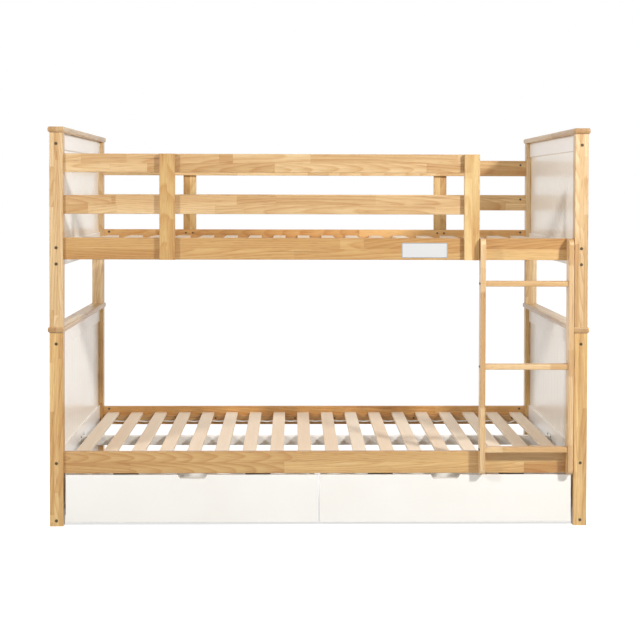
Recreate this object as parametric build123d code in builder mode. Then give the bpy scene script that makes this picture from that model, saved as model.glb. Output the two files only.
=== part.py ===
from build123d import *
import os

os.makedirs("parts", exist_ok=True)

# Twin over twin bunk bed: hardwood posts and rails, painted ends, a fixed ladder and two rolling drawers.
# X runs along the bed with the ladder at its right end, Y runs from the ladder to the wall, Z is up.
# The origin is on the floor, at the middle of the whole outline with the ladder and the back uprights.

# Posts and caps
BED_LENGTH = 1990  # over the posts, end to end
BED_WIDTH = 1074  # over the posts, front to back
POST_X = 50
POST_Y = 40
POST_LENGTH = 717
POST_EASE = 3
CAP_T = 21
CAP_LIP = 6
CAP_ROUND = 7

# Rails that run along the bed
RAIL_SETBACK = 12.5  # from the outer face of a post to the outer face of a rail
RAIL_T = 22
RAIL_EASE = 2.5
SIDE_RAIL_H = 81
SIDE_RAIL_Z = {"lower": 193.5, "upper": 986.5}
GUARD_H = 69
GUARD_Z = {"mid": 1155, "top": 1308.5}
UPRIGHT_T = 20
UPRIGHT_W = 57
UPRIGHT_X = 562  # centre of each upright

# Painted end panels
END_RAIL_T = 19
END_RAIL_H = 93
END_RAIL_Z = {"lower": 187, "upper": 960.5}
END_EASE = 2
TOP_RAIL_H = 61
FOOT_RAIL_Z = (6, 36)
PANEL_T = 6
TONGUE = 8  # how far a panel enters the posts and rails round it
SLOT_GAP = 0.15  # play on each side of a panel in its slot
BEAD_PITCH = 58.5
BEAD_COUNT = 13
BEAD_WIDTH = 3.2
BEAD_DEPTH = 1.4

# Slats, ledges and the beam under the middle of the slats
SLAT_COUNT = 18
SLAT_W = 52
SLAT_T = 12
SLAT_SPAN = 1852  # outside of the first slat to outside of the last
SLAT_END_GAP = 2
SLAT_REST = 43.5  # from the bottom of a side rail to the underside of the slats
LEDGE_H = 24
LEDGE_T = 20
LEDGE_LENGTH = 1870
BEAM_W = 30
BEAM_H = 37
HANGER_T = 2
HANGER_REACH = 30
HANGER_W = 86
HANGER_DROP = 3  # how far the plate reaches below the beam
HANGER_RISE = 11  # how far it reaches above the beam
TAPE_W = 25
TAPE_T = 0.8
TAPE_INSET = 194  # from the outer face of the posts to the middle of a tape

# Ladder
STILE_T = 19
STILE_PROUD = 38  # in front of the posts
STILE_ROUND = 25
LADDER_X = (591.5, 935.5)
RUNG_TOPS = (297, 604, 911)
RUNG_T = 20
RUNG_D = 38
RUNG_INSET = 6.5  # behind the front edge of the stiles
RUNG_EASE = 4

# Drawers
DRAWER_GAP = 5.5  # between the two fronts
DRAWER_SIDE_GAP = 7.5  # between a front and a post
DRAWER_SETBACK = 10
DRAWER_Z = (10.5, 188)
DRAWER_DEPTH = 500
FRONT_T = 18
BOX_INSET = 12
BOX_T = 15
BOX_Z = (44, 165)
BOTTOM_T = 9
NOTCH_TOP = 111
NOTCH_FOOT = 91
NOTCH_DEPTH = 14.5
NOTCH_ROUND = 5
STRIP_X = (227.5, 716.5)
STRIP_SIZE = (93, 16, 3.6)
WHEEL_R = 20
WHEEL_W = 16
WHEEL_BORE = 3.06
AXLE_R = 3
FORK_T = 2
FORK_GAP = 20
FORK_W = 24
FORK_PLATE = (46, 50)
CASTER_IN = 62  # from the side of the box to the wheel
CASTER_Y = (62, 455)  # from the outer face of the posts to the two axle lines

# Fasteners
BOLT_R = 3
BOLT_BORE = 3.4
BOLT_HEAD = (5.8, 1.6)
SOCKET_R = 2.6
SOCKET_DEPTH = 1.2
RAIL_BOLT_L = 95
END_BOLT_L = 80
NUT_R = 5
NUT_BORE = 5.1
NUT_IN = 25  # from the end of a rail to its barrel nut
RAIL_NUT_L = 17
END_NUT_L = 14.5
SIDE_BOLT_IN = 11  # from the edges of a side rail to its two bolts
GUARD_BOLT_DROP = 19.5
END_BOLT_Z = {"lower": (21, 233.5, 675.5), "upper": (970.5, 1030, 1413.5)}
SCREW_R = 2
SCREW_BORE = 2.15
SCREW_HEAD = (4, 1.6)
SCREW_CROSS = (4.6, 1.1, 1.1)  # length, width and depth of the recess in a screw head
STILE_SCREWS = (49, 60)  # above the bottom of a side rail, between its ledge and its upper barrel nut
LEDGE_SCREW_X = (88.5, 265.5, 442.5, 619.5, 884)
PIN_R = 5
PIN_BORE = 5.2
PIN_REACH = 30  # into each post

# Places worked out from the sizes above
UPRIGHT_PROUD = UPRIGHT_T - RAIL_SETBACK
OUTLINE_DEPTH = STILE_PROUD + BED_WIDTH + UPRIGHT_PROUD
FRONT = STILE_PROUD - OUTLINE_DEPTH / 2
BACK = FRONT + BED_WIDTH
MIDDLE = (FRONT + BACK) / 2
POST_INSIDE = BED_LENGTH / 2 - POST_X
END_X = BED_LENGTH / 2 - POST_X / 2
BASE = {"lower": 0, "upper": POST_LENGTH + CAP_T}
LEDGE_TOP = {level: SIDE_RAIL_Z[level] + SLAT_REST for level in SIDE_RAIL_Z}
SIDES = {"left": -1, "right": 1}
FACES = {"front": (FRONT, 1), "back": (BACK, -1)}  # outer face of the posts, and the way inwards


def span(edge, way, start, size):
    """Low and high place of something that begins at start from an edge and is size thick, going inwards."""
    ends = (edge + way * start, edge + way * (start + size))
    return min(ends), max(ends)


def bar(grain, x, y, z, ease):
    """A straight bar between two corners, with the four edges along its grain rounded."""
    middle = (sum(x) / 2, sum(y) / 2, sum(z) / 2)
    size = (x[1] - x[0], y[1] - y[0], z[1] - z[0])
    if grain == "X":
        start = Plane((x[0], middle[1], middle[2]), x_dir=(0, 1, 0), z_dir=(1, 0, 0))
        across, length = (size[1], size[2]), size[0]
    elif grain == "Y":
        start = Plane((middle[0], y[0], middle[2]), x_dir=(1, 0, 0), z_dir=(0, 1, 0))
        across, length = (size[0], size[2]), size[1]
    else:
        start = Plane((middle[0], middle[1], z[0]), x_dir=(1, 0, 0), z_dir=(0, 0, 1))
        across, length = (size[0], size[1]), size[2]
    with BuildPart() as piece:
        with BuildSketch(start):
            RectangleRounded(across[0], across[1], ease)
        extrude(amount=length)
    return piece.part


def looking(points, outward):
    """Planes on a face at the given points, each facing outwards."""
    return [Plane(point, z_dir=outward) for point in points]


def save(piece, name):
    """Names a finished piece and writes it."""
    piece.part.label = name
    export_step(piece.part, f"parts/{name}.step")


# Where the fasteners go, as planes under their heads

def rail_bolt_heights(level, side, face):
    """Heights of the bolts that run along the bed through one post."""
    low = SIDE_RAIL_Z[level]
    heights = [low + SIDE_BOLT_IN, low + SIDE_RAIL_H - SIDE_BOLT_IN]
    guarded = level == "upper" and (side, face) != ("right", "front")
    if guarded:
        heights += [GUARD_Z[row] + GUARD_H - GUARD_BOLT_DROP for row in GUARD_Z]
    return heights


def rail_bolts(level, side, face):
    """Planes on the end of the bed, for the bolts into the rails that run along it."""
    edge, way = FACES[face]
    y = edge + way * (RAIL_SETBACK + RAIL_T / 2)
    x = SIDES[side] * BED_LENGTH / 2
    heights = rail_bolt_heights(level, side, face)
    return looking([(x, y, z) for z in heights], (SIDES[side], 0, 0))


def end_bolts(level, side, face):
    """Planes on the outer face of a post, for the bolts into the painted rails of the end."""
    edge, way = FACES[face]
    x = SIDES[side] * END_X
    return looking([(x, edge, z) for z in END_BOLT_Z[level]], (0, -way, 0))


def rail_nuts(level, side, face):
    """Planes on the inner faces of the rails, for their barrel nuts."""
    edge, way = FACES[face]
    y = edge + way * (RAIL_SETBACK + RAIL_T)
    x = SIDES[side] * (POST_INSIDE - NUT_IN)
    heights = rail_bolt_heights(level, side, face)
    return looking([(x, y, z) for z in heights], (0, way, 0))


def end_nuts(level, side, face):
    """Planes on the outside of the painted rails, for their barrel nuts."""
    edge, way = FACES[face]
    x = SIDES[side] * (END_X + END_RAIL_T / 2)
    y = edge + way * (POST_Y + NUT_IN)
    return looking([(x, y, z) for z in END_BOLT_Z[level]], (SIDES[side], 0, 0))


def ledge_screws(level):
    """Planes on the inner faces of the two ledges of one bed."""
    z = LEDGE_TOP[level] - LEDGE_H / 2
    planes = []
    for edge, way in FACES.values():
        y = edge + way * (RAIL_SETBACK + RAIL_T + LEDGE_T)
        points = [(sign * x, y, z) for x in LEDGE_SCREW_X for sign in (-1, 1)]
        planes += looking(points, (0, way, 0))
    return planes


def hanger_screws(level):
    """Planes on the plates that hold the ends of one centre beam."""
    planes = []
    for side in SIDES.values():
        x = side * (END_X - END_RAIL_T / 2 - HANGER_T)
        heights = (LEDGE_TOP[level] - 29, LEDGE_TOP[level] - 1)
        points = [(x, MIDDLE + dy, z) for dy in (-31, 31) for z in heights]
        planes += looking(points, (-side, 0, 0))
    return planes


def upright_screws():
    """Planes on the inner faces of the upper rails, behind the uprights."""
    centres = [GUARD_Z["mid"] + GUARD_H / 2, GUARD_Z["top"] + GUARD_H / 2]
    heights = [SIDE_RAIL_Z["upper"] + 66] + centres
    planes = []
    for edge, way in FACES.values():
        y = edge + way * (RAIL_SETBACK + RAIL_T)
        across = [side * UPRIGHT_X + dx for side in (-1, 1) for dx in (-15, 15)]
        planes += looking([(x, y, z) for x in across for z in heights], (0, way, 0))
    return planes


def ladder_screws():
    """Planes on the inner faces of the two front side rails, behind the stiles."""
    y = FRONT + RAIL_SETBACK + RAIL_T
    stiles = (LADDER_X[0] + STILE_T / 2, LADDER_X[1] - STILE_T / 2)
    heights = [low + rise for low in SIDE_RAIL_Z.values() for rise in STILE_SCREWS]
    return looking([(x, y, z) for x in stiles for z in heights], (0, 1, 0))


def rung_screws():
    """Planes on the outer faces of the stiles, at the ends of the rungs."""
    middle = FRONT - STILE_PROUD + RUNG_INSET + RUNG_D / 2
    planes = []
    for x, way in zip(LADDER_X, (-1, 1)):
        points = [(x, middle + dy, top - RUNG_T / 2) for top in RUNG_TOPS for dy in (-9, 9)]
        planes += looking(points, (way, 0, 0))
    return planes


SCREWS = {
    16: hanger_screws("lower") + hanger_screws("upper"),
    36: ledge_screws("lower") + ledge_screws("upper") + upright_screws(),
    50: ladder_screws() + rung_screws(),
}


def rods(planes, radius, depth):
    """Round rods that go in from each plane, against the way it faces."""
    with BuildPart() as group:
        with BuildSketch(*planes):
            Circle(radius)
        extrude(amount=-depth)
    return group.part


def corners(level):
    """Each corner of one bed, as the side and the face that its post belongs to."""
    return [(level, side, face) for side in SIDES for face in FACES]


def bores(level):
    """Every hole that is drilled in the wood of one bed."""
    rail_planes = sum([rail_bolts(*corner) for corner in corners(level)], [])
    end_planes = sum([end_bolts(*corner) for corner in corners(level)], [])
    rail_nut_planes = sum([rail_nuts(*corner) for corner in corners(level)], [])
    end_nut_planes = sum([end_nuts(*corner) for corner in corners(level)], [])
    with BuildPart() as holes:
        add(rods(rail_planes, BOLT_BORE, RAIL_BOLT_L))
        add(rods(end_planes, BOLT_BORE, END_BOLT_L))
        add(rods(rail_nut_planes, NUT_BORE, RAIL_NUT_L))
        add(rods(end_nut_planes, NUT_BORE, END_NUT_L))
    return holes.part


BORES = {level: bores(level) for level in BASE}

with BuildPart() as screw_bores:
    for depth, planes in SCREWS.items():
        add(rods(planes, SCREW_BORE, depth))


def pins(radius, reach):
    """The four upright pins that join the beds, or the holes for them."""
    points = [(side * END_X, edge + way * POST_Y / 2) for side in (-1, 1) for edge, way in FACES.values()]
    with BuildPart() as group:
        with BuildSketch(Plane.XY.offset(POST_LENGTH - reach)):
            with Locations(*points):
                Circle(radius)
        extrude(amount=2 * reach + CAP_T)
    return group.part


PIN_BORES = pins(PIN_BORE, PIN_REACH + 1)


# Posts, with slots for the panels of the ends

def slot_spans(level):
    """Low and high ends of the panel slots in the posts of one bed."""
    end_rail_top = END_RAIL_Z[level] + END_RAIL_H
    top_rail_foot = BASE[level] + POST_LENGTH - TOP_RAIL_H
    spans = [(end_rail_top - TONGUE, top_rail_foot + TONGUE)]
    if level == "lower":
        spans.append((FOOT_RAIL_Z[1] - TONGUE, END_RAIL_Z[level] + TONGUE))
    return spans


def post(level, side, face):
    """One corner post."""
    edge, way = FACES[face]
    x = SIDES[side] * END_X
    body = bar(
        "Z",
        (x - POST_X / 2, x + POST_X / 2),
        span(edge, way, 0, POST_Y),
        (BASE[level], BASE[level] + POST_LENGTH),
        POST_EASE,
    )
    with BuildPart() as piece:
        add(body)
        for low, high in slot_spans(level):
            with Locations((x, edge + way * (POST_Y - TONGUE / 2), (low + high) / 2)):
                Box(PANEL_T + 2 * SLOT_GAP, TONGUE, high - low, mode=Mode.SUBTRACT)
        add(BORES[level], mode=Mode.SUBTRACT)
        add(PIN_BORES, mode=Mode.SUBTRACT)
    return piece


for level in BASE:
    for side in SIDES:
        for face in FACES:
            save(post(level, side, face), f"{level}_post_{face}_{side}")


# Painted ends: a cap and top rail, a grooved panel, and an end rail at the height of the slats

def cap(level, side):
    """The rounded board on top of one end."""
    x = SIDES[side] * END_X
    top = BASE[level] + POST_LENGTH
    with BuildPart() as piece:
        with Locations((x, MIDDLE, top + CAP_T / 2)):
            Box(POST_X + 2 * CAP_LIP, BED_WIDTH + 2 * CAP_LIP, CAP_T)
        fillet(piece.edges(), radius=CAP_ROUND)
        add(PIN_BORES, mode=Mode.SUBTRACT)
    return piece


def end_rail(level, side, z, slots):
    """A painted rail between the two posts of one end, with a slot for each panel beside it."""
    x = SIDES[side] * END_X
    body = bar(
        "Y",
        (x - END_RAIL_T / 2, x + END_RAIL_T / 2),
        (FRONT + POST_Y, BACK - POST_Y),
        z,
        END_EASE,
    )
    with BuildPart() as piece:
        add(body)
        for slot in slots:
            with Locations((x, MIDDLE, slot)):
                Box(PANEL_T + 2 * SLOT_GAP, BED_WIDTH, TONGUE, mode=Mode.SUBTRACT)
        add(BORES[level], mode=Mode.SUBTRACT)
        add(screw_bores.part, mode=Mode.SUBTRACT)
    return piece


def panel(side, z, beads):
    """A thin panel that sits in slots all round, with a row of V grooves on both faces."""
    x = SIDES[side] * END_X
    depth = BED_WIDTH - 2 * POST_Y + 2 * TONGUE
    with BuildPart() as piece:
        with BuildSketch(Plane.XY.offset(z[0])):
            with Locations((x, MIDDLE)):
                Rectangle(PANEL_T, depth)
            for bead in range(beads):
                y = MIDDLE + (bead - (beads - 1) / 2) * BEAD_PITCH
                for way in (-1, 1):
                    mouth = x + way * PANEL_T / 2
                    root = mouth - way * BEAD_DEPTH
                    with BuildLine():
                        Polyline(
                            (mouth, y - BEAD_WIDTH / 2),
                            (root, y),
                            (mouth, y + BEAD_WIDTH / 2),
                            close=True,
                        )
                    make_face(mode=Mode.SUBTRACT)
        extrude(amount=z[1] - z[0])
    return piece


for side in SIDES:
    for level in BASE:
        rail_low = END_RAIL_Z[level]
        rail_high = rail_low + END_RAIL_H
        top_high = BASE[level] + POST_LENGTH
        top_low = top_high - TOP_RAIL_H
        lower_slot = [rail_low + TONGUE / 2] if level == "lower" else []
        rail_slots = [rail_high - TONGUE / 2] + lower_slot
        save(cap(level, side), f"{level}_cap_{side}")
        save(end_rail(level, side, (top_low, top_high), [top_low + TONGUE / 2]), f"{level}_top_rail_{side}")
        save(end_rail(level, side, (rail_low, rail_high), rail_slots), f"{level}_end_rail_{side}")
        save(panel(side, (rail_high - TONGUE, top_low + TONGUE), BEAD_COUNT), f"{level}_beadboard_{side}")

foot_slots = [FOOT_RAIL_Z[1] - TONGUE / 2]
with BuildPart() as foot_rails:
    add([end_rail("lower", side, FOOT_RAIL_Z, foot_slots).part for side in SIDES])
save(foot_rails, "foot_rails")

skirt_z = (FOOT_RAIL_Z[1] - TONGUE, END_RAIL_Z["lower"] + TONGUE)
with BuildPart() as skirt_panels:
    add([panel(side, skirt_z, 0).part for side in SIDES])
save(skirt_panels, "skirt_panels")


# Rails along the bed

def long_rail(level, face, x, low, height):
    """A hardwood rail along the bed, bored for its bolts, nuts and screws."""
    edge, way = FACES[face]
    body = bar("X", x, span(edge, way, RAIL_SETBACK, RAIL_T), (low, low + height), RAIL_EASE)
    with BuildPart() as piece:
        add(body)
        add(BORES[level], mode=Mode.SUBTRACT)
        add(screw_bores.part, mode=Mode.SUBTRACT)
    return piece


WHOLE = (-POST_INSIDE, POST_INSIDE)
GUARDED = (-POST_INSIDE, UPRIGHT_X + UPRIGHT_W / 2)

for face in FACES:
    for level in BASE:
        side_rail = long_rail(level, face, WHOLE, SIDE_RAIL_Z[level], SIDE_RAIL_H)
        save(side_rail, f"{level}_side_rail_{face}")
    for row in GUARD_Z:
        reach = GUARDED if face == "front" else WHOLE
        guard_rail = long_rail("upper", face, reach, GUARD_Z[row], GUARD_H)
        save(guard_rail, f"{face}_guard_rail_{row}")

upright_z = (SIDE_RAIL_Z["upper"], GUARD_Z["top"] + GUARD_H)
upright_bars = []
for edge, way in FACES.values():
    for sign in (-1, 1):
        x = sign * UPRIGHT_X
        across = (x - UPRIGHT_W / 2, x + UPRIGHT_W / 2)
        depth = span(edge, way, RAIL_SETBACK - UPRIGHT_T, UPRIGHT_T)
        upright_bars.append(bar("Z", across, depth, upright_z, RAIL_EASE))
with BuildPart() as guard_uprights:
    add(upright_bars)
    add(screw_bores.part, mode=Mode.SUBTRACT)
save(guard_uprights, "guard_uprights")

# What carries the mattresses

slat_y = (FRONT + RAIL_SETBACK + RAIL_T + SLAT_END_GAP, BACK - RAIL_SETBACK - RAIL_T - SLAT_END_GAP)
slat_pitch = (SLAT_SPAN - SLAT_W) / (SLAT_COUNT - 1)
beam_end = END_X - END_RAIL_T / 2 - HANGER_T
ledge_bars = []
beam_bars = []
tape_bars = []
for level, top in LEDGE_TOP.items():
    slat_bars = []
    for count in range(SLAT_COUNT):
        x = -SLAT_SPAN / 2 + count * slat_pitch
        slat_bars.append(bar("Y", (x, x + SLAT_W), slat_y, (top, top + SLAT_T), 2))
    with BuildPart() as slats:
        add(slat_bars)
    save(slats, f"{level}_slats")
    beam_y = (MIDDLE - BEAM_W / 2, MIDDLE + BEAM_W / 2)
    beam_bars.append(bar("X", (-beam_end, beam_end), beam_y, (top - BEAM_H, top), 1.5))
    for edge, way in FACES.values():
        ledge_y = span(edge, way, RAIL_SETBACK + RAIL_T, LEDGE_T)
        ledge_x = (-LEDGE_LENGTH / 2, LEDGE_LENGTH / 2)
        ledge_bars.append(bar("X", ledge_x, ledge_y, (top - LEDGE_H, top), 1.5))
        tape_y = span(edge, way, TAPE_INSET - TAPE_W / 2, TAPE_W)
        tape_x = (-SLAT_SPAN / 2 + 6, SLAT_SPAN / 2 - 6)
        tape_bars.append(bar("X", tape_x, tape_y, (top - TAPE_T, top), 0.3))

with BuildPart() as slat_ledges:
    add(ledge_bars)
    add(screw_bores.part, mode=Mode.SUBTRACT)
save(slat_ledges, "slat_ledges")

with BuildPart() as centre_beams:
    add(beam_bars)
save(centre_beams, "centre_beams")

with BuildPart() as slat_tapes:
    add(tape_bars)
save(slat_tapes, "slat_tapes")


def hanger(level, side):
    """A bent steel stirrup on an end rail, with the end of the beam lying in it."""
    top = LEDGE_TOP[level]
    wall = END_X - END_RAIL_T / 2
    foot = top - BEAM_H
    inside = BEAM_W + 0.4
    with BuildPart() as piece:
        with Locations((side * (wall - HANGER_T / 2), MIDDLE, (foot - HANGER_DROP + top + HANGER_RISE) / 2)):
            Box(HANGER_T, HANGER_W, BEAM_H + HANGER_DROP + HANGER_RISE)
        fillet(piece.edges().filter_by(Axis.X), radius=6)
        with Locations((side * (wall - HANGER_T - HANGER_REACH / 2), MIDDLE, foot - HANGER_T / 2)):
            Box(HANGER_REACH, inside + 2 * HANGER_T, HANGER_T)
        for way in (-1, 1):
            y = MIDDLE + way * (inside + HANGER_T) / 2
            with Locations((side * (wall - HANGER_T - HANGER_REACH / 2), y, foot - HANGER_T + 14)):
                Box(HANGER_REACH, HANGER_T, 28)
        add(screw_bores.part, mode=Mode.SUBTRACT)
    return piece.part


with BuildPart() as beam_hangers:
    add([hanger(level, side) for level in BASE for side in SIDES.values()])
save(beam_hangers, "beam_hangers")

# Ladder

stile_back = FRONT + RAIL_SETBACK
stile_front = FRONT - STILE_PROUD
stile_z = (SIDE_RAIL_Z["lower"], SIDE_RAIL_Z["upper"] + SIDE_RAIL_H)
for side, x in (("left", LADDER_X[0]), ("right", LADDER_X[1] - STILE_T)):
    with BuildPart() as stile:
        with BuildSketch(Plane.YZ.offset(x)) as outline:
            with Locations(((stile_front + stile_back) / 2, sum(stile_z) / 2)):
                Rectangle(stile_back - stile_front, stile_z[1] - stile_z[0])
            fillet(outline.vertices().group_by(Axis.X)[0], radius=STILE_ROUND)
        extrude(amount=STILE_T)
        fillet(stile.faces().filter_by(Axis.X).edges(), radius=2)
        add(screw_bores.part, mode=Mode.SUBTRACT)
    save(stile, f"ladder_stile_{side}")

rung_x = (LADDER_X[0] + STILE_T, LADDER_X[1] - STILE_T)
rung_y = (stile_front + RUNG_INSET, stile_front + RUNG_INSET + RUNG_D)
rung_bars = [bar("X", rung_x, rung_y, (top - RUNG_T, top), RUNG_EASE) for top in RUNG_TOPS]
with BuildPart() as ladder_rungs:
    add(rung_bars)
    add(screw_bores.part, mode=Mode.SUBTRACT)
save(ladder_rungs, "ladder_rungs")

# Fasteners: pins between the beds, socket head bolts with barrel nuts, and wood screws

with BuildPart() as stacking_pins:
    add(pins(PIN_R, PIN_REACH))
    fillet(stacking_pins.edges().filter_by(GeomType.CIRCLE), radius=1.2)
save(stacking_pins, "stacking_pins")

ALL_CORNERS = corners("lower") + corners("upper")
rail_bolt_planes = sum([rail_bolts(*corner) for corner in ALL_CORNERS], [])
end_bolt_planes = sum([end_bolts(*corner) for corner in ALL_CORNERS], [])
head_planes = rail_bolt_planes + end_bolt_planes
with BuildPart() as frame_bolts:
    with BuildSketch(*head_planes):
        Circle(BOLT_HEAD[0])
    extrude(amount=BOLT_HEAD[1])
    fillet(frame_bolts.edges().filter_by(GeomType.CIRCLE).group_by(SortBy.LENGTH)[-1], radius=0.5)
    with BuildSketch(*[plane.offset(BOLT_HEAD[1]) for plane in head_planes]):
        RegularPolygon(SOCKET_R, 6)
    extrude(amount=-SOCKET_DEPTH, mode=Mode.SUBTRACT)
    with BuildSketch(*rail_bolt_planes):
        Circle(BOLT_R)
    extrude(amount=-(RAIL_BOLT_L - 5))
    with BuildSketch(*end_bolt_planes):
        Circle(BOLT_R)
    extrude(amount=-(END_BOLT_L - 5))
save(frame_bolts, "frame_bolts")

rail_nut_planes = sum([rail_nuts(*corner) for corner in ALL_CORNERS], [])
end_nut_planes = sum([end_nuts(*corner) for corner in ALL_CORNERS], [])
with BuildPart() as barrel_nuts:
    add(rods(rail_nut_planes, NUT_R, RAIL_NUT_L))
    add(rods(end_nut_planes, NUT_R, END_NUT_L))
    add(rods(rail_bolt_planes, BOLT_R + 0.05, RAIL_BOLT_L), mode=Mode.SUBTRACT)
    add(rods(end_bolt_planes, BOLT_R + 0.05, END_BOLT_L), mode=Mode.SUBTRACT)
save(barrel_nuts, "barrel_nuts")

with BuildPart() as wood_screws:
    for length, planes in SCREWS.items():
        with BuildSketch(*planes):
            Circle(SCREW_HEAD[0])
        extrude(amount=SCREW_HEAD[1])
        with BuildSketch(*[plane.offset(SCREW_HEAD[1]) for plane in planes]):
            Rectangle(SCREW_CROSS[0], SCREW_CROSS[1])
            Rectangle(SCREW_CROSS[1], SCREW_CROSS[0])
        extrude(amount=-SCREW_CROSS[2], mode=Mode.SUBTRACT)
        with BuildSketch(*planes):
            Circle(SCREW_R)
        extrude(amount=-(length - 1))
save(wood_screws, "wood_screws")

# Drawers

strip_y = FRONT + RAIL_SETBACK + 3 + STRIP_SIZE[1] / 2
strip_points = [(sign * x, strip_y, SIDE_RAIL_Z["lower"] - STRIP_SIZE[2] / 2) for x in STRIP_X for sign in (-1, 1)]
with BuildPart() as rub_strips:
    with Locations(*strip_points):
        Box(*STRIP_SIZE)
save(rub_strips, "rub_strips")


def drawer(side):
    """One drawer: its front, its box and its four casters with their wheels."""
    way = SIDES[side]
    name = f"drawer_{side}"
    front_x = tuple(sorted((way * DRAWER_GAP / 2, way * (POST_INSIDE - DRAWER_SIDE_GAP))))
    middle = sum(front_x) / 2
    face = FRONT + DRAWER_SETBACK
    board = bar("X", front_x, (face, face + FRONT_T), DRAWER_Z, 2)
    with BuildPart() as drawer_front:
        add(board)
        with BuildSketch(Plane((middle, face, DRAWER_Z[1]), x_dir=(1, 0, 0), z_dir=(0, -1, 0))) as notch:
            with BuildLine():
                Polyline(
                    (-NOTCH_TOP / 2, 0),
                    (-NOTCH_FOOT / 2, -NOTCH_DEPTH),
                    (NOTCH_FOOT / 2, -NOTCH_DEPTH),
                    (NOTCH_TOP / 2, 0),
                    close=True,
                )
            make_face()
            fillet(notch.vertices().group_by(Axis.Y)[0], radius=NOTCH_ROUND)
        extrude(amount=-FRONT_T, mode=Mode.SUBTRACT)
    save(drawer_front, f"{name}_front")

    box_x = (front_x[0] + BOX_INSET, front_x[1] - BOX_INSET)
    box_y = (face + FRONT_T, face + DRAWER_DEPTH)
    floor_top = BOX_Z[0] + BOTTOM_T
    side_y = (box_y[0], box_y[1] - BOX_T)
    wall_z = (floor_top, BOX_Z[1])
    boards = [
        bar("Y", (box_x[0], box_x[0] + BOX_T), side_y, wall_z, 1.5),
        bar("Y", (box_x[1] - BOX_T, box_x[1]), side_y, wall_z, 1.5),
        bar("X", box_x, (box_y[1] - BOX_T, box_y[1]), wall_z, 1.5),
        bar("X", box_x, box_y, (BOX_Z[0], floor_top), 0.5),
    ]
    with BuildPart() as drawer_box:
        add(boards)
    save(drawer_box, f"{name}_box")

    wheel_x = (box_x[0] + CASTER_IN, box_x[1] - CASTER_IN)
    wheel_y = [FRONT + y for y in CASTER_Y]
    centres = [(x, y) for x in wheel_x for y in wheel_y]
    axle_length = FORK_GAP + 2 * FORK_T + 2
    forks = [fork(x, y) for x, y in centres]
    axle_planes = looking([(x + axle_length / 2, y, WHEEL_R) for x, y in centres], (1, 0, 0))
    with BuildPart() as casters:
        add(forks)
        add(rods(axle_planes, AXLE_R, axle_length))
    save(casters, f"{name}_casters")

    for place, y in zip(("front", "rear"), wheel_y):
        discs = [wheel(x, y) for x in wheel_x]
        with BuildPart() as wheels:
            add(discs)
        save(wheels, f"{name}_{place}_wheels")


def fork(x, y):
    """The steel fork of a fixed caster: a plate under the box and two cheeks beside the wheel."""
    plate_top = BOX_Z[0]
    with BuildPart() as piece:
        with Locations((x, y, plate_top - FORK_T / 2)):
            Box(FORK_PLATE[0], FORK_PLATE[1], FORK_T)
        fillet(piece.edges().filter_by(Axis.Z), radius=5)
        for start in (x - FORK_GAP / 2 - FORK_T, x + FORK_GAP / 2):
            with BuildSketch(Plane.YZ.offset(start)):
                with Locations((y, WHEEL_R)):
                    Circle(FORK_W / 2 - 3)
                with BuildLine():
                    Polyline(
                        (y - FORK_W / 2, plate_top - FORK_T),
                        (y - FORK_W / 2 + 3, WHEEL_R),
                        (y + FORK_W / 2 - 3, WHEEL_R),
                        (y + FORK_W / 2, plate_top - FORK_T),
                        close=True,
                    )
                make_face()
                with Locations((y, WHEEL_R)):
                    Circle(AXLE_R + 0.05, mode=Mode.SUBTRACT)
            extrude(amount=FORK_T)
    return piece.part


def wheel(x, y):
    """A moulded caster wheel with a crowned tread and a dished hub."""
    with BuildPart() as piece:
        with BuildSketch(Plane.YZ.offset(x - WHEEL_W / 2)):
            with Locations((y, WHEEL_R)):
                Circle(WHEEL_R)
        extrude(amount=WHEEL_W)
        fillet(piece.edges().filter_by(GeomType.CIRCLE), radius=3)
        for face, outward in ((x - WHEEL_W / 2, -1), (x + WHEEL_W / 2, 1)):
            with BuildSketch(Plane((face, y, WHEEL_R), z_dir=(outward, 0, 0))):
                Circle(WHEEL_R - 6)
                Circle(6.5, mode=Mode.SUBTRACT)
            extrude(amount=-3, mode=Mode.SUBTRACT)
        with Locations(Plane((x + WHEEL_W / 2, y, WHEEL_R), z_dir=(1, 0, 0))):
            Hole(radius=WHEEL_BORE, depth=WHEEL_W)
    return piece.part


for side in SIDES:
    drawer(side)
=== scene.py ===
# %% [markdown]
# # Dressing a bunk bed
# The construction model already holds every board, bolt and wheel of the bed at its real size. This notebook
# loads it as a fixed frame and gives it what a photographer would see: hardwood with its grain, paint, metal,
# a woven tape under the slats, a blank care card, soft light and a camera. Nothing of the model is moved.
# Lengths are in metres: X runs along the bed, Y from the ladder to the wall, and Z is up.

# %% Load the frame
import math

import bpy
import numpy as np
from mathutils import Matrix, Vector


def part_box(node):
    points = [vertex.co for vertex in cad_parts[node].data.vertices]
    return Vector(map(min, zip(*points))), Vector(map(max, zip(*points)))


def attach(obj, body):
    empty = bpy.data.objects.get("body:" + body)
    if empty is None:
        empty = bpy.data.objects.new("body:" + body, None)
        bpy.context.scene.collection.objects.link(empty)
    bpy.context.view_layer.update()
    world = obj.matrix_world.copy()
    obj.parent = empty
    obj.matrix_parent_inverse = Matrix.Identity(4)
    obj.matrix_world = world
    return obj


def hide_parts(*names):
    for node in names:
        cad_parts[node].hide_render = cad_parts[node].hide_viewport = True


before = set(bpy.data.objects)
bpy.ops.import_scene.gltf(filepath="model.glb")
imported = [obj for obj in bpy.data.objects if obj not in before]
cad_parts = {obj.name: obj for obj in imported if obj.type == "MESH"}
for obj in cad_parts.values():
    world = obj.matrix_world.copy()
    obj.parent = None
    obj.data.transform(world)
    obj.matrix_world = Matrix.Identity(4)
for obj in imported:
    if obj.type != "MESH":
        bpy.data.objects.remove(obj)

scene = bpy.context.scene
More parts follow.
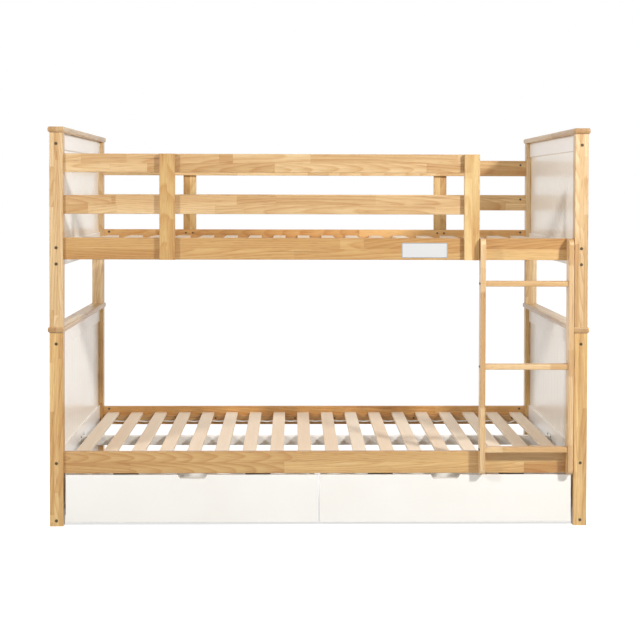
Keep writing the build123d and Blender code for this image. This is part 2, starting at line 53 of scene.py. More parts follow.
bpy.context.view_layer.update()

# %% [markdown]
# ## The camera
# A product photographer stands well back with a long lens, so that the upright posts stay upright. Tilting the
# camera down would make them lean, so here it looks almost level and the picture is shifted down instead, as
# with a shift lens. The place, the turn and the focal length are real measures of that studio set-up.

# %% Stand the camera in front of the bed
CAMERA_PLACE = (-0.0973, -5.4074, 1.2463)
CAMERA_YAW = math.radians(-1.068)
CAMERA_PITCH = math.radians(-1.157)
CAMERA_ROLL = math.radians(-0.146)
FOCAL_LENGTH = 74.87
SENSOR = 36.0
SHIFT = (0.0005, -0.1446)


def studio_camera():
    """A camera turned about Z by its yaw, about its own X by its pitch and about its view line by its roll."""
    data = bpy.data.cameras.new("studio_camera")
    data.lens, data.sensor_width = FOCAL_LENGTH, SENSOR
    data.shift_x, data.shift_y = SHIFT
    camera = bpy.data.objects.new("studio_camera", data)
    scene.collection.objects.link(camera)
    turn = (
        Matrix.Rotation(CAMERA_YAW, 4, "Z")
        @ Matrix.Rotation(CAMERA_PITCH, 4, "X")
        @ Matrix.Rotation(CAMERA_ROLL, 4, "Y")
        @ Matrix.Rotation(math.pi / 2, 4, "X")
    )
    camera.matrix_world = Matrix.Translation(CAMERA_PLACE) @ turn
    return camera


scene.camera = studio_camera()
print("camera", [round(x, 3) for x in scene.camera.location])

# %% [markdown]
# ## A bench for mixing finishes
# Every finish here is a small tree of nodes: coordinates go in, noise and arithmetic make a pattern, and the
# pattern drives colour, roughness and bump. Written out by hand, such trees are long. A small class whose
# methods each add one node and hand back its output lets a recipe read like a formula.

# %% The finish bench
def shade(red, green, blue):
    """Linear colour of an ordinary screen colour from 0 to 255: the two parts of the sRGB curve, undone."""
    screen = np.array((red, green, blue)) / 255.0
    linear = np.where(screen <= 0.04045, screen / 12.92, ((screen + 0.055) / 1.055) ** 2.4)
    return (*linear.tolist(), 1.0)


class Finish:
    """A material being mixed. Each method adds one node and returns the output that the next one uses."""

    def __init__(self, name, **sockets):
        self.material = bpy.data.materials.new(name)
        self.material.use_nodes = True
        self.nodes = self.material.node_tree.nodes
        self.shader = self.nodes["Principled BSDF"]
        where = self.nodes.new("ShaderNodeTexCoord")
        self.place, self.facing, self.uv = (where.outputs[name] for name in ("Object", "Normal", "UV"))
        for socket, value in sockets.items():
            self.feed(self.shader.inputs[socket.replace("_", " ")], value)

    def feed(self, socket, value):
        """Links an output into a socket, or sets the socket to a plain value."""
        if isinstance(value, bpy.types.NodeSocket):
            self.material.node_tree.links.new(value, socket)
        else:
            socket.default_value = value

    def add(self, kind, *values, output=0, **settings):
        node = self.nodes.new(kind)
        for name, setting in settings.items():
            setattr(node, name, setting)
        for socket, value in zip(node.inputs, values):
            self.feed(socket, value)
        return node.outputs[output]

    def math(self, operation, *values):
        return self.add("ShaderNodeMath", *values, operation=operation)

    def product(self, vector, factors):
        return self.add("ShaderNodeVectorMath", vector, factors, operation="MULTIPLY")

    def axes(self, vector):
        node = self.nodes.new("ShaderNodeSeparateXYZ")
        self.feed(node.inputs[0], vector)
        return dict(zip("XYZ", node.outputs))

    def point(self, **axes):
        return self.add("ShaderNodeCombineXYZ", *(axes.get(axis, 0.0) for axis in "XYZ"))

    def noise(self, vector, detail=2.0, output=0):
        node = self.nodes.new("ShaderNodeTexNoise")
        self.feed(node.inputs["Vector"], vector)
        node.inputs["Scale"].default_value = 1.0
        node.inputs["Detail"].default_value = detail
        return node.outputs[output]

    def between(self, value, low, high, start=0.0, end=1.0):
        """value from low to high becomes start to end, and stays at the nearer of them outside."""
        node = self.nodes.new("ShaderNodeMapRange")
        for socket, number in zip(node.inputs, (value, low, high, start, end)):
            self.feed(socket, number)
        return node.outputs[0]

    def mix(self, amount, first, second, blend="MIX"):
        node = self.nodes.new("ShaderNodeMix")
        node.data_type, node.blend_type = "RGBA", blend
        for socket, value in ((0, amount), (6, first), (7, second)):
            self.feed(node.inputs[socket], value)
        return node.outputs[2]

    def bump(self, height, distance, strength=1.0):
        node = self.nodes.new("ShaderNodeBump")
        node.inputs["Strength"].default_value = strength
        node.inputs["Distance"].default_value = distance
        self.feed(node.inputs["Height"], height)
        self.feed(self.shader.inputs["Normal"], node.outputs[0])


def dress(finish, *names):
    """Puts a finish into the material slots of CAD nodes."""
    for name in names:
        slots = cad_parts[name].data.materials
        slots.clear()
        slots.append(finish.material)


# %% [markdown]
# ## Finger-jointed hardwood
# The posts and rails are glued from short blocks of pale plantation hardwood: side by side as staves, end to
# end with finger joints, under satin lacquer. An image of wood would stretch and repeat. Here each block is
# cut out of an imagined log instead: rings are circles round a pith line that lies beside the block and leans
# a little, so a flat face shows arches, an edge shows straight lines and a cut end shows arcs, and they meet
# at the corners as they do in solid wood.

# %% Wood recipe
PITH_ASIDE = 0.045  # farthest that the pith line lies to one side of the board's middle
PITH_BEHIND = (0.03, 0.10)  # nearest and farthest that it lies behind it
LEAN = 0.12  # share of the largest tilt that a block's pith line has
FINGER = 0.0038  # from one finger of a joint to the next
FINGER_SLOPE = 5.0  # length of a finger over half its pitch
RING_GAP = 0.0046
WOBBLE = 0.016  # how far the rings wander
GLUE_LINE = 0.0005
# Painted shade: a dark band at the top of each post stands in for the shadow that its cap casts.
PAINTED_SHADE_HEIGHT = 0.0022  # height of the dark line under a cap
STREAK_BROWN = (0.80, 0.66, 0.52, 1.0)  # linear colours that the tone is multiplied by
RING_BROWN = (0.80, 0.64, 0.47, 1.0)
FIBRE_BROWN = (0.82, 0.70, 0.56, 1.0)
PORE_BROWN = (0.50, 0.33, 0.20, 1.0)
GLUE_BROWN = (0.55, 0.38, 0.24, 1.0)
END_BROWN = (0.72, 0.58, 0.44, 1.0)
# Colour of the painted shade under a cap.
PAINTED_SHADE_BROWN = (0.30, 0.17, 0.08, 1.0)
AXIS = {"X": 0, "Y": 1, "Z": 2}


def hardwood(name, low, size, grain, across, staves, block, tone, seed, cell=None, mirror=False, grime=False):
    """Wood for a board between low and low + size, with its grain along one axis and staves across another.

    Block: the stave's number and the place along the grain pick a cell of a Voronoi pattern, which gives the
    block its random colour numbers. Ring darkness: a saw-tooth of the distance to the pith line, divided by
    the ring gap. Colour: the tone, lighter or darker by block, times streaks, fibres, pores and rings. Painted
    shade: a dark band at the high end of the grain stands in for the shadow under a board that lies across it.
    """
    finish = Finish(name)
    depth = next(axis for axis in "XYZ" if axis not in (grain, across))
    place = finish.axes(finish.place)
    if mirror:
        place["X"] = finish.math("ABSOLUTE", place["X"])
    u, v, w = place[grain], place[across], place[depth]
    luck = seed * 7.31
    if cell:
        number = finish.add("ShaderNodeVectorMath", finish.place, cell, operation="DIVIDE")
        number = finish.add("ShaderNodeVectorMath", number, operation="FLOOR")
        chance = finish.nodes.new("ShaderNodeTexWhiteNoise")
        finish.feed(chance.inputs["Vector"], number)
        luck = finish.math("MULTIPLY_ADD", chance.outputs["Value"], 40.0, luck)

    width = size[AXIS[across]] / staves
    stave_place = finish.math("DIVIDE", finish.math("SUBTRACT", v, low[AXIS[across]]), width)
    stave = finish.math("FLOOR", stave_place)
    finger = finish.math("PINGPONG", w, FINGER / 2)
    along = finish.math("MULTIPLY_ADD", finger, FINGER_SLOPE, u)
    along = finish.math("ADD", finish.math("DIVIDE", along, block), luck)
    row = finish.math("MULTIPLY_ADD", stave, 7.3, luck)
    cell_place = finish.point(X=along, Y=row)
    blocks = finish.nodes.new("ShaderNodeTexVoronoi")
    edges = finish.nodes.new("ShaderNodeTexVoronoi")
    edges.feature = "DISTANCE_TO_EDGE"
    for pattern in (blocks, edges):
        pattern.voronoi_dimensions = "2D"
        pattern.inputs["Scale"].default_value = 1.0
        finish.feed(pattern.inputs["Vector"], cell_place)
    tint, shift, lean = finish.axes(blocks.outputs["Color"]).values()
    middle = finish.axes(blocks.outputs["Position"])["X"]
    inside = finish.math("MULTIPLY", finish.math("SUBTRACT", along, middle), block)

    stretched = finish.product(finish.place, tuple(1.7 if axis == grain else 9.0 for axis in "XYZ"))
    wobble = finish.axes(finish.noise(stretched, 2.0, output=1))
    centre = {axis: low[AXIS[axis]] + size[AXIS[axis]] / 2 for axis in (across, depth)}
    side = finish.math("MULTIPLY_ADD", shift, -2 * PITH_ASIDE, PITH_ASIDE - centre[across])
    side = finish.math("ADD", v, finish.math("MULTIPLY_ADD", wobble["X"], WOBBLE, side))
    tilt = finish.math("MULTIPLY", finish.math("SUBTRACT", lean, 0.5), inside)
    near, far = PITH_BEHIND
    back = finish.math("MULTIPLY_ADD", tint, near - far, -near - centre[depth])
    back = finish.math("ADD", w, finish.math("MULTIPLY_ADD", wobble["Y"], WOBBLE, back))
    back = finish.math("MULTIPLY_ADD", tilt, LEAN, back)
    pith = finish.add("ShaderNodeVectorMath", finish.point(X=side, Y=back), operation="LENGTH", output=1)
    tooth = finish.math("FRACT", finish.math("DIVIDE", pith, RING_GAP))
    rise = finish.math("POWER", finish.between(tooth, 0.1, 0.88), 1.8)
    ring = finish.math("MULTIPLY", rise, finish.between(tooth, 1.0, 0.90))

    def fibres(along_scale, across_scale, detail):
        """Noise drawn out along the grain."""
        scales = tuple(along_scale if axis == grain else across_scale for axis in "XYZ")
        return finish.noise(finish.product(finish.place, scales), detail)

    streak = fibres(1.4, 48.0, 4.0)
    fibre = fibres(9.0, 420.0, 2.0)
    pore = finish.between(fibres(26.0, 900.0, 0.0), 0.66, 0.76)
    fleck = finish.between(fibres(4.0, 90.0, 1.0), 0.68, 0.78)

    tone = np.array(tone)
    light = shade(*np.minimum(tone * (1.06, 1.085, 1.12), 255))
    dark = shade(*(tone * (0.935, 0.885, 0.81)))
    colour = finish.mix(finish.between(tint, 0.05, 0.95), light, dark)
    colour = finish.mix(finish.between(streak, 0.36, 0.66, 0.0, 0.62), colour, STREAK_BROWN, "MULTIPLY")
    colour = finish.mix(finish.math("MULTIPLY", ring, 0.72), colour, RING_BROWN, "MULTIPLY")
    colour = finish.mix(finish.between(fibre, 0.35, 0.65, 0.0, 0.42), colour, FIBRE_BROWN, "MULTIPLY")
    pores, flecks = finish.math("MULTIPLY", pore, 0.45), finish.math("MULTIPLY", fleck, 0.55)
    colour = finish.mix(finish.math("MAXIMUM", pores, flecks), colour, PORE_BROWN, "MULTIPLY")

    seam = finish.math("MULTIPLY", edges.outputs["Distance"], block)
    seam = finish.between(seam, 0.0, GLUE_LINE, 0.30, 0.0)
    if staves > 1:
        gap = finish.math("PINGPONG", stave_place, 0.5)
        gap = finish.between(finish.math("MULTIPLY", gap, width), 0.0, GLUE_LINE, 0.25, 0.0)
        seam = finish.math("MAXIMUM", seam, gap)
    colour = finish.mix(seam, colour, GLUE_BROWN, "MULTIPLY")
    end = finish.math("ABSOLUTE", finish.axes(finish.facing)[grain])
    end = finish.between(end, 0.6, 0.9, 0.0, 0.8)
    colour = finish.mix(end, colour, END_BROWN, "MULTIPLY")
    # Painted shade: the last few millimetres at the top of the grain are darkened for the shadow under a cap.
    if grime:
        shade_band = finish.math("SUBTRACT", u, low[AXIS[grain]] + size[AXIS[grain]] - PAINTED_SHADE_HEIGHT)
        shade_band = finish.between(shade_band, 0.0, PAINTED_SHADE_HEIGHT / 2, 0.0, 0.75)
        colour = finish.mix(shade_band, colour, PAINTED_SHADE_BROWN, "MULTIPLY")
    finish.feed(finish.shader.inputs["Base Color"], colour)

    finish.feed(finish.shader.inputs["Roughness"], finish.between(fibre, 0.3, 0.7, 0.34, 0.46))
    finish.shader.inputs["Coat Weight"].default_value = 0.25
    finish.shader.inputs["Coat Roughness"].default_value = 0.22
    height = finish.math("SUBTRACT", fibre, finish.math("MULTIPLY", pore, 0.7))
    height = finish.math("SUBTRACT", height, finish.math("MULTIPLY", seam, 1.5))
    finish.bump(height, 0.0003, 0.5)
    return finish


# %% [markdown]
# ## Which boards are cut how
# A sawmill cuts the parts of a bed with the grain along their length, and glues up staves across their width.
# Each board gets its own mix of the recipe, because the staves have to start at its own edge. The tones follow
# how the boards were sorted: pale ones for the posts and the ladder, browner ones for the long side rails, and
# paler ones again at the back.

# %% Posts, caps, rails and ladder
POST_TONE = {"upper": (226, 201, 158), "lower": (224, 192, 134)}
CAP_TONE = (212, 188, 145)
GUARD_TONE = {"front": (214, 184, 137), "back": (234, 206, 156)}
SIDE_TONE = {"front": (209, 174, 117), "back": (228, 187, 125)}
UPRIGHT_TONE = (218, 188, 132)
LADDER_TONE = (231, 205, 160)
LEDGE_TONE = (214, 176, 126)
LEVELS, ENDS, FACES = ("lower", "upper"), ("left", "right"), ("front", "back")


def board(name, grain, across, staves, block, tone, **more):
    """Mixes hardwood for one CAD node from the node's own box and puts it on."""
    low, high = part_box(name)
    seed = 1 + sorted(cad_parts).index(name)
    dress(hardwood(f"wood_{name}", low, high - low, grain, across, staves, block, tone, seed, **more), name)


for level in LEVELS:
    for end in ENDS:
        for face in FACES:
            # The posts get a painted shade line where their caps' shadow falls.
            board(f"{level}_post_{face}_{end}", "Z", "X", 3, 0.42, POST_TONE[level], grime=True)
        board(f"{level}_cap_{end}", "Y", "X", 2, 0.50, CAP_TONE)
    for face in FACES:
        board(f"{level}_side_rail_{face}", "X", "Z", 2, 1.10, SIDE_TONE[face])
for face in FACES:
    for row in ("mid", "top"):
        board(f"{face}_guard_rail_{row}", "X", "Z", 2, 0.38, GUARD_TONE[face])
for end in ENDS:
    board(f"ladder_stile_{end}", "Z", "Y", 3, 0.34, LADDER_TONE)
board("ladder_rungs", "X", "Y", 1, 0.9, LADDER_TONE, cell=(4.0, 4.0, 0.307))
board("slat_ledges", "X", "Z", 1, 0.6, LEDGE_TONE, cell=(4.0, 1.0, 0.9))

upright_low, upright_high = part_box("guard_uprights")
UPRIGHT_W = 0.057
upright_size = upright_high - upright_low
upright_size.x = UPRIGHT_W
upright_low.x = upright_high.x - UPRIGHT_W
dress(
    hardwood(
        "wood_guard_uprights", upright_low, upright_size, "Z", "X", 2, 0.5, UPRIGHT_TONE, 3,
        cell=(1.0, 1.0, 4.0), mirror=True,
    ),
    "guard_uprights",
)
print("wooden finishes", len([m for m in bpy.data.materials if m.name.startswith("wood_")]))

# %% [markdown]
# ## Slats
# Slats are cut from cheap pale wood and left bare, so they are lighter, pinker and duller than the lacquered
# boards, and each one has its own tint. The same log recipe serves, with one stave, no joints in sight and a
# cell as wide as the slats' pitch, so that every slat draws its own numbers.

# %% Bare slats
SLAT_TONE = (246, 231, 211)
SLAT_W = 0.052
SLAT_COUNT = 18
slat_low, slat_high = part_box("lower_slats")
slat_pitch = (slat_high.x - slat_low.x - SLAT_W) / (SLAT_COUNT - 1)


def slat_wood():
    """Pale bare wood: the tone of each slat from white noise of its number, fibres along Y, faint rings."""
    finish = Finish("wood_slats", Roughness=0.62)
    place = finish.axes(finish.place)
    number = finish.math("SUBTRACT", place["X"], slat_low.x - (slat_pitch - SLAT_W) / 2)
    number = finish.math("FLOOR", finish.math("DIVIDE", number, slat_pitch))
    level = finish.math("ROUND", place["Z"])
    chance = finish.nodes.new("ShaderNodeTexWhiteNoise")
    finish.feed(chance.inputs["Vector"], finish.point(X=number, Y=level))
    luck = finish.axes(chance.outputs["Color"])
    drift = finish.math("MULTIPLY_ADD", luck["X"], 9.0, finish.math("MULTIPLY", place["Y"], 1.0))
    moved = finish.point(X=place["X"], Y=drift, Z=place["Z"])
    wander = finish.noise(finish.product(moved, (14.0, 1.3, 14.0)), 2.0)
    line = finish.math("MULTIPLY_ADD", wander, 0.05, place["X"])
    tooth = finish.math("FRACT", finish.math("DIVIDE", line, 0.006))
    ring = finish.math("MULTIPLY", finish.between(tooth, 0.0, 0.8), finish.between(tooth, 1.0, 0.82))
    fibre = finish.noise(finish.product(moved, (520.0, 9.0, 520.0)), 3.0)
    broad = finish.noise(finish.product(moved, (30.0, 1.2, 30.0)), 3.0)
    tone = np.array(SLAT_TONE)
    colour = finish.mix(luck["Y"], shade(*(tone * (1.0, 1.005, 1.01))), shade(*(tone * (0.985, 0.96, 0.93))))
    marks = (
        (finish.math("MULTIPLY", ring, 0.22), (0.88, 0.78, 0.66, 1.0)),
        (finish.between(broad, 0.35, 0.7, 0.0, 0.35), (0.90, 0.82, 0.72, 1.0)),
        (finish.between(fibre, 0.35, 0.7, 0.0, 0.3), (0.90, 0.84, 0.76, 1.0)),
    )
    for amount, brown in marks:
        colour = finish.mix(amount, colour, brown, "MULTIPLY")
    finish.feed(finish.shader.inputs["Base Color"], colour)
    finish.bump(fibre, 0.0002, 0.6)
    return finish


dress(slat_wood(), *(f"{level}_slats" for level in LEVELS))
print("slat pitch", round(slat_pitch, 4))

# %% [markdown]
# ## White paint
# Sprayed paint isn't one flat white: it lies in a fine orange peel, a little thicker here and thinner there.
# Three mixes differ only in whiteness, gloss and the size of the peel: satin on the end frames, glossier on
# the grooved panels, and the hard smooth coat of the drawer fronts.

# %% Paint recipe
def paint(name, colour, roughness, peel=1100.0, depth=0.00006, coat=0.0):
    """Paint whose colour drifts by a few parts in a hundred, over a peel of noise in the bump."""
    finish = Finish(name)
    drift = finish.noise(finish.product(finish.place, (3.0, 3.0, 3.0)), 2.0)
    tone = np.array(colour)
    mixed = finish.mix(finish.between(drift, 0.3, 0.7), shade(*tone), shade(*(tone * (0.985, 0.98, 0.97))))
    finish.feed(finish.shader.inputs["Base Color"], mixed)
    grain = finish.noise(finish.product(finish.place, (peel, peel, peel)), 1.0)
    gloss = finish.between(grain, 0.3, 0.7, roughness, roughness + 0.06)
    finish.feed(finish.shader.inputs["Roughness"], gloss)
    finish.shader.inputs["Coat Weight"].default_value = coat
    finish.shader.inputs["Coat Roughness"].default_value = 0.12
    finish.bump(grain, depth, 0.6)
    return finish


frame_parts = ("top_rail", "end_rail")
end_frames = [f"{level}_{part}_{end}" for level in LEVELS for part in frame_parts for end in ENDS]
panels = [f"{level}_beadboard_{end}" for level in LEVELS for end in ENDS]
dress(paint("paint_frames", (250, 247, 243), 0.30), *end_frames, "foot_rails", "centre_beams")
dress(paint("paint_panels", (249, 246, 240), 0.30, coat=0.2), *panels, "skirt_panels")
dress(paint("paint_drawers", (247, 245, 240), 0.40, peel=700.0), "drawer_left_front", "drawer_right_front")
dress(paint("paint_brackets", (232, 231, 228), 0.38), "beam_hangers")
dress(paint("board_boxes", (250, 249, 246), 0.5, peel=260.0), "drawer_left_box", "drawer_right_box")

# %% [markdown]
# ## Metal, rubber and plastic
# The bolts and nuts are browned so that they recede on wood, the pins and casters are zinc plated, the strips
# above the drawers are dark rubber and the wheels are moulded nylon. Small hardware is read by its highlights, so
# these differ mostly in how metallic and how rough they are, with a fine noise to break the highlight up.

# %% Hardware finishes
def hardware(name, colour, roughness, metallic=0.0, grain=900.0, depth=0.00005):
    """A dark or metallic finish: colour and roughness both drift with one fine noise."""
    finish = Finish(name, Metallic=metallic)
    grit = finish.noise(finish.product(finish.place, (grain, grain, grain)), 3.0)
    tone = np.array(colour)
    mixed = finish.mix(finish.between(grit, 0.3, 0.7), shade(*tone), shade(*(tone * 0.8)))
    finish.feed(finish.shader.inputs["Base Color"], mixed)
    gloss = finish.between(grit, 0.3, 0.7, roughness, roughness + 0.12)
    finish.feed(finish.shader.inputs["Roughness"], gloss)
    finish.bump(grit, depth, 0.5)
    return finish


dress(hardware("bronze_fasteners", (104, 88, 66), 0.34, metallic=0.8), "frame_bolts", "wood_screws")
dress(hardware("zinc_pins", (190, 190, 186), 0.30, metallic=1.0), "stacking_pins")
dress(hardware("browned_nuts", (112, 104, 92), 0.36, metallic=0.8), "barrel_nuts")
dress(hardware("rubber_strips", (44, 26, 18), 0.7, grain=500.0), "rub_strips")
for end in ENDS:
    dress(hardware("zinc_casters", (196, 197, 198), 0.28, metallic=1.0), f"drawer_{end}_casters")
    wheels = [f"drawer_{end}_{place}_wheels" for place in ("front", "rear")]
    dress(hardware("nylon_wheels", (46, 45, 44), 0.48, grain=400.0), *wheels)

# %% [markdown]
# ## The tapes under the slats
# Two woven tapes are stapled under each set of slats to keep them spaced. A tape is a flat strip that is held
# at every slat and sags a little in every gap. It could be simulated, but a strip held this often has only one
# shape, so a formula draws it: a flat oval profile carried along a line that dips between the slats.

# %% Woven tape
TAPE_T = 0.0008
TAPE_LENGTH = slat_high.x - slat_low.x - 0.012
LAST_DIP = 0.008
STEPS_PER_SLAT = 12
PROFILE_POINTS = 12


def tape_line(seed):
    """Points along a tape at rest height 0: in each gap it dips by a depth times the squared sine of the way
    across, and it wanders sideways by a slow sine. Returns x, sideways and height as arrays."""
    draw = np.random.default_rng(seed)
    dips = draw.uniform(0.0006, 0.0024, SLAT_COUNT)
    dips[SLAT_COUNT - 2] = LAST_DIP
    x = np.linspace(-TAPE_LENGTH / 2, TAPE_LENGTH / 2, SLAT_COUNT * STEPS_PER_SLAT + 1)
    place = (x - slat_low.x) / slat_pitch
    number = np.clip(place.astype(int), 0, SLAT_COUNT - 1)
    bare = SLAT_W / slat_pitch
    across = np.clip((place - number - bare) / (1 - bare), 0.0, 1.0)
    height = -dips[number] * np.sin(np.pi * across) ** 2
    sideways = 0.0008 * np.sin(x * 9.0 + draw.uniform(0, 6))
    return x, sideways, height


def ribbon(name, middle, top, width, line):
    """A closed flat strip: a superellipse profile, |y| and |z| with the power 4, at every point of the line.
    The UV map holds metres along and across, so that the weave is woven along the tape."""
    x, sideways, height = line
    turn = np.linspace(0, 2 * np.pi, PROFILE_POINTS, endpoint=False)
    flat = np.sign(np.cos(turn)) * np.abs(np.cos(turn)) ** 0.5 * width / 2
    thick = np.sign(np.sin(turn)) * np.abs(np.sin(turn)) ** 0.5 * TAPE_T / 2
    rings = np.stack(
        [
            np.broadcast_to(x[:, None], (len(x), PROFILE_POINTS)),
            middle + sideways[:, None] + flat[None, :],
            top - TAPE_T / 2 + height[:, None] + thick[None, :],
        ],
        axis=-1,
    )
    count = len(x)
    ring, step = np.meshgrid(np.arange(count - 1), np.arange(PROFILE_POINTS), indexing="ij")
    following = (step + 1) % PROFILE_POINTS
    quads = np.stack(
        [
            ring * PROFILE_POINTS + step,
            ring * PROFILE_POINTS + following,
            (ring + 1) * PROFILE_POINTS + following,
            (ring + 1) * PROFILE_POINTS + step,
        ],
        axis=-1,
    ).reshape(-1, 4)
    first = list(range(PROFILE_POINTS))[::-1]
    last = [(count - 1) * PROFILE_POINTS + point for point in range(PROFILE_POINTS)]
    mesh = bpy.data.meshes.new(name)
    mesh.from_pydata(rings.reshape(-1, 3).tolist(), [], quads.tolist() + [first, last])
    corner = np.zeros(len(mesh.loops), int)
    mesh.loops.foreach_get("vertex_index", corner)
    points = rings.reshape(-1, 3)[corner]
    weave = mesh.uv_layers.new(name="weave")
    weave.data.foreach_set("uv", np.stack([points[:, 0], points[:, 1] - middle], axis=-1).ravel())
    piece = bpy.data.objects.new(name, mesh)
    scene.collection.objects.link(piece)
    mesh.polygons.foreach_set("use_smooth", np.ones(len(mesh.polygons), bool))
    length = float(np.sqrt(np.diff(x) ** 2 + np.diff(height) ** 2).sum())
    return piece, length


def tape_weave():
    """Plain weave: the product of a wave along the tape and a wave across it, out of step row by row."""
    finish = Finish("woven_tape", Roughness=0.85)
    place = finish.axes(finish.uv)
    warp = finish.math("SINE", finish.math("MULTIPLY", place["Y"], 2 * math.pi / 0.0012))
    weft = finish.math("SINE", finish.math("MULTIPLY", place["X"], 2 * math.pi / 0.0016))
    weave = finish.math("MULTIPLY", warp, weft)
    colour = finish.mix(finish.between(weave, -1.0, 1.0), shade(206, 203, 199), shade(240, 238, 235))
    finish.feed(finish.shader.inputs["Base Color"], colour)
    finish.shader.inputs["Sheen Weight"].default_value = 0.3
    finish.bump(weave, 0.0002, 0.8)
    return finish


weave = tape_weave()
tape_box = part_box("slat_tapes")
TAPE_W = 0.025
for number, level in enumerate(LEVELS):
    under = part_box(f"{level}_slats")[0].z
    for face, edge, way in (("front", tape_box[0].y, 1), ("back", tape_box[1].y, -1)):
        middle = edge + way * TAPE_W / 2
        line = tape_line(number * 2 + (face == "back"))
        tape, length = ribbon(f"{level}_tape_{face}", middle, under, TAPE_W, line)
        tape.data.materials.append(weave.material)
        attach(tape, "bunk_frame")
        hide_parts("slat_tapes")
        print(tape.name, "length", round(length, 4))

# %% [markdown]
# ## The blank card on the upper rail
# A plastic card with rounded corners is stuck on the front of the upper rail. It is left blank here, with the
# thin ruled frame of a card. Its outline is a rounded rectangle, worked out as four quarter circles,
# and two more outlines just inside it make a face that swells off the rail and rolls over at the edge.

# %% Card
CARD_X = (0.304, 0.474)
CARD_Z = (0.994, 1.050)
CARD_T = 0.0006
CARD_ROUND = 0.005
CORNER_POINTS = 8
RULE_INSET = 0.0016
RULE_HALF = (0.0010, 0.0016)  # half the width of the rule where it is full, and where it ends


def rounded_outline(inset):
    """Corner centres plus the radius times cosine and sine over each quarter turn, all moved in by inset."""
    angle = np.linspace(0, np.pi / 2, CORNER_POINTS)
    radius = CARD_ROUND - inset
    centre_x = np.array([CARD_X[1] - CARD_ROUND, CARD_X[0] + CARD_ROUND])[[0, 1, 1, 0]]
    centre_z = np.array([CARD_Z[1] - CARD_ROUND, CARD_Z[0] + CARD_ROUND])[[0, 0, 1, 1]]
    turns = angle[None, :] + np.arange(4)[:, None] * np.pi / 2
    x = centre_x[:, None] + radius * np.cos(turns)
    z = centre_z[:, None] + radius * np.sin(turns)
    return x.ravel(), z.ravel()


def card_piece():
    """Stacks outlines: on the rail, at full size just off it, and slightly smaller on the face."""
    rail_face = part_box("upper_side_rail_front")[0].y
    levels = [(0.0, 0.0), (0.0, CARD_T * 0.6), (CARD_T * 0.5, CARD_T), (0.0015, CARD_T)]
    loops = []
    for inset, off in levels:
        x, z = rounded_outline(inset)
        loops.append(np.stack([x, np.full_like(x, rail_face - off), z], axis=-1))
    around = len(loops[0])
    ring, step = np.meshgrid(np.arange(len(levels) - 1), np.arange(around), indexing="ij")
    following = (step + 1) % around
    quads = np.stack(
        [
            ring * around + step,
            (ring + 1) * around + step,
            (ring + 1) * around + following,
            ring * around + following,
        ],
        axis=-1,
    ).reshape(-1, 4)
    back = list(range(around))
    front = [(len(levels) - 1) * around + point for point in range(around)][::-1]
    mesh = bpy.data.meshes.new("blank_card")
    mesh.from_pydata(np.concatenate(loops).tolist(), [], quads.tolist() + [back, front])
    piece = bpy.data.objects.new("blank_card", mesh)
    scene.collection.objects.link(piece)
    return piece


def card_finish():
    """White film. The ruled frame is where the distance to the edge of a box is close to a set inset."""
    finish = Finish("card_film", Roughness=0.5)
    place = finish.axes(finish.place)
    half = ((CARD_X[1] - CARD_X[0]) / 2, (CARD_Z[1] - CARD_Z[0]) / 2)
    middle = (sum(CARD_X) / 2, sum(CARD_Z) / 2)
    from_end = finish.math("ABSOLUTE", finish.math("SUBTRACT", place["X"], middle[0]))
    from_edge = finish.math("ABSOLUTE", finish.math("SUBTRACT", place["Z"], middle[1]))
    margin = finish.math(
        "MINIMUM", finish.math("SUBTRACT", half[0], from_end), finish.math("SUBTRACT", half[1], from_edge)
    )
    from_rule = finish.math("ABSOLUTE", finish.math("SUBTRACT", margin, RULE_INSET))
    rule = finish.between(from_rule, *RULE_HALF, 0.8, 0.0)
    colour = finish.mix(rule, shade(208, 208, 207), shade(132, 138, 148))
    finish.feed(finish.shader.inputs["Base Color"], colour)
    peel = finish.noise(finish.product(finish.place, (600.0, 600.0, 600.0)), 1.0)
    finish.bump(peel, 0.00003, 0.5)
    return finish


card = card_piece()
card.data.materials.append(card_finish().material)
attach(card, "bunk_frame")
print("card corners", len(card.data.vertices))

# %% [markdown]
# ## Studio
# The bed stands on a white sweep that runs out of sight, between two lamps at the front left and the front
# right, small enough for clear shadows. More light comes from the white back of the room than from its dark front.
# To the camera, and in reflections, the room is plain white; the floor is short of white by itself and glows a
# little to the camera, so the shadow of the bed still shows on it.

# %% Floor, backdrop and lamps
ROOM_LIGHT = (0.16, 0.95)  # strength of the light from the dark front of the room and from its white back
ROOM_TURN = (-0.5, 0.6)  # Y of the directions where the one ends and the other begins
FLOOR_WHITE = 0.6
FLOOR_GLOW = 0.72
LAMP_DISTANCE = 4.6
LAMPS = {  # turn from straight ahead, height angle, watts, side of the square
    "lamp_right": (38.0, 26.0, 137.0, 0.35),
    "lamp_left": (-44.0, 24.0, 80.0, 0.35),
}
LIT_POINT = (0.0, 0.0, 0.75)


def seen_directly(nodes, links):
    """1 for rays from the camera, from reflections and through glass, and 0 for light going to a surface."""
    path = nodes.new("ShaderNodeLightPath")
    total = path.outputs["Is Camera Ray"]
    for name in ("Is Glossy Ray", "Is Transmission Ray"):
        highest = nodes.new("ShaderNodeMath")
        highest.operation = "MAXIMUM"
        links.new(total, highest.inputs[0])
        links.new(path.outputs[name], highest.inputs[1])
        total = highest.outputs[0]
    return total


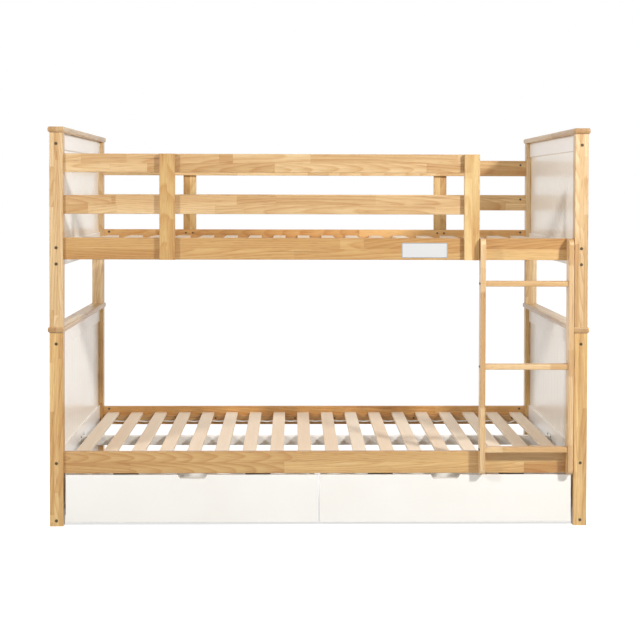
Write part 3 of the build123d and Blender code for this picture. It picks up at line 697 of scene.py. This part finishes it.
def white_room():
    """World: plain white where it is seen. Where it only lights, it grows stronger from front to back."""
    world = bpy.data.worlds.new("white_room")
    world.use_nodes = True
    nodes, links = world.node_tree.nodes, world.node_tree.links
    light = nodes["Background"]
    light.inputs["Color"].default_value = (1.0, 1.0, 1.0, 1.0)
    direction = nodes.new("ShaderNodeTexCoord")
    parts = nodes.new("ShaderNodeSeparateXYZ")
    links.new(direction.outputs["Generated"], parts.inputs[0])
    strength = nodes.new("ShaderNodeMapRange")
    links.new(parts.outputs["Y"], strength.inputs[0])
    for socket, number in zip(list(strength.inputs)[1:5], (*ROOM_TURN, *ROOM_LIGHT)):
        socket.default_value = number
    links.new(strength.outputs[0], light.inputs["Strength"])
    white = nodes.new("ShaderNodeBackground")
    white.inputs["Color"].default_value = (1.0, 1.0, 1.0, 1.0)
    choice = nodes.new("ShaderNodeMixShader")
    links.new(seen_directly(nodes, links), choice.inputs[0])
    links.new(light.outputs[0], choice.inputs[1])
    links.new(white.outputs[0], choice.inputs[2])
    links.new(choice.outputs[0], nodes["World Output"].inputs["Surface"])
    return world


def white_floor(reach=30.0):
    """A flat square under the feet whose finish is a matt white, plus a glow that only the camera sees."""
    side = np.array([-reach, reach])
    corners = np.array([(x, y, -0.0002) for x, y in zip(side[[0, 1, 1, 0]], side[[0, 0, 1, 1]])])
    mesh = bpy.data.meshes.new("studio_floor")
    mesh.from_pydata(corners.tolist(), [], [(0, 1, 2, 3)])
    floor = bpy.data.objects.new("studio_floor", mesh)
    scene.collection.objects.link(floor)
    finish = Finish("floor_white", Roughness=1.0, Base_Color=(*[FLOOR_WHITE] * 3, 1.0))
    finish.shader.inputs["Specular IOR Level"].default_value = 0.0
    finish.shader.inputs["Emission Color"].default_value = (1.0, 1.0, 1.0, 1.0)
    nodes, links = finish.nodes, finish.material.node_tree.links
    glow = finish.math("MULTIPLY", seen_directly(nodes, links), FLOOR_GLOW)
    finish.feed(finish.shader.inputs["Emission Strength"], glow)
    mesh.materials.append(finish.material)


def lamp(name, turn, height, watts, side):
    """A square lamp on a circle round the bed, aimed at its middle."""
    data = bpy.data.lights.new(name, "AREA")
    data.energy, data.size = watts, side
    turn, height = math.radians(turn), math.radians(height)
    away = np.array([math.sin(turn) * math.cos(height), -math.cos(turn) * math.cos(height), math.sin(height)])
    light = bpy.data.objects.new(name, data)
    scene.collection.objects.link(light)
    aim = Matrix.Rotation(turn, 4, "Z") @ Matrix.Rotation(math.pi / 2 - height, 4, "X")
    light.matrix_world = Matrix.Translation(np.array(LIT_POINT) + LAMP_DISTANCE * away) @ aim


scene.world = white_room()
white_floor()
for name, (turn, height, watts, side) in LAMPS.items():
    lamp(name, turn, height, watts, side)
scene.view_settings.view_transform = "Standard"
print("lamps", len(LAMPS))
